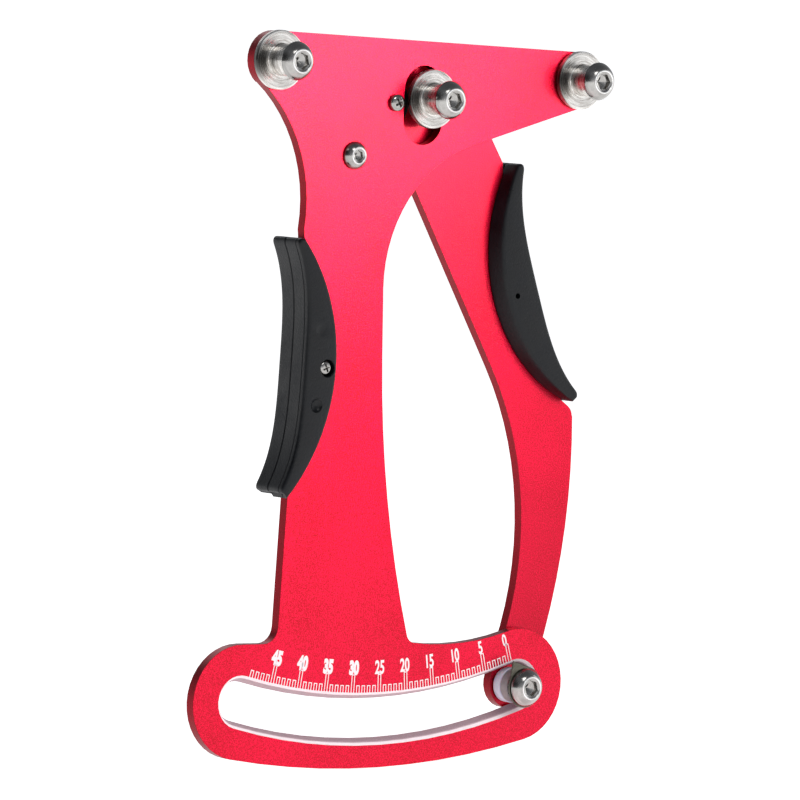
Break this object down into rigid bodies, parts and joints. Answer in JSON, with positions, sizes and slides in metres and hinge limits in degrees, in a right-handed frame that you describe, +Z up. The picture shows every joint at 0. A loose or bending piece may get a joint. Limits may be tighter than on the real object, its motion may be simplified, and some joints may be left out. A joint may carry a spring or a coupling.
{
  "type": "spoke tension meter",
  "caption": "Hand-held gauge for wheel spokes: a flat scale plate with fixed posts, a curved slot and dial, and a sprung lever with a moving post, pointer and moulded grips.",
  "frame": {"origin": "centre of the meter's bounding box at rest", "axes": "+Z up from the curved scale towards the posts, -Y out of the face with the scale, +X from the scale plate's leg towards the lever"},
  "size_m": [0.14, 0.0272, 0.2024],
  "materials": {
    "red_anodised": "satin red anodised",
    "stainless": "turned and polished",
    "plated_steel": "zinc plated",
    "dark_steel": "blackened",
    "spring_steel": "drawn wire",
    "black_plastic": "satin moulded",
    "white_nylon": "milky moulded"
  },
  "bodies": {
    "frame": {"scale_plate": "red_anodised", "left_post": "stainless", "left_post_screw": "stainless", "left_post_nut": "plated_steel", "right_post": "stainless", "right_post_screw": "stainless", "right_post_nut": "plated_steel", "pivot_screw": "stainless", "pivot_bush": "plated_steel", "pivot_spacer": "black_plastic", "pivot_washer": "plated_steel", "pivot_nut": "plated_steel", "spring_screw": "stainless", "spring_post": "plated_steel", "return_spring": "spring_steel", "left_grip_front": "black_plastic", "left_grip_back": "black_plastic", "left_grip_screw": "plated_steel"},
    "lever": {"lever_plate": "red_anodised", "moving_post": "stainless", "moving_post_screw": "stainless", "moving_post_washer": "plated_steel", "moving_post_nut": "plated_steel", "spring_pin": "plated_steel", "slot_bush": "white_nylon", "pointer_collar": "white_nylon", "pointer_lock_washer": "dark_steel", "pointer_plate": "stainless", "pointer_screw": "stainless", "right_grip_front": "black_plastic", "right_grip_back": "black_plastic", "right_grip_screw": "plated_steel"}
  },
  "joints": [
    {"name": "lever_swing", "type": "hinge", "parent": "frame", "child": "lever", "pos_m": [-0.00162, -0.00197, 0.08038], "axis": [0, 1, 0], "range_deg": [0, 32.4], "stiffness_Nm_per_rad": 3, "springref_deg": -9.74, "deforming": ["return_spring"]}
  ]
}
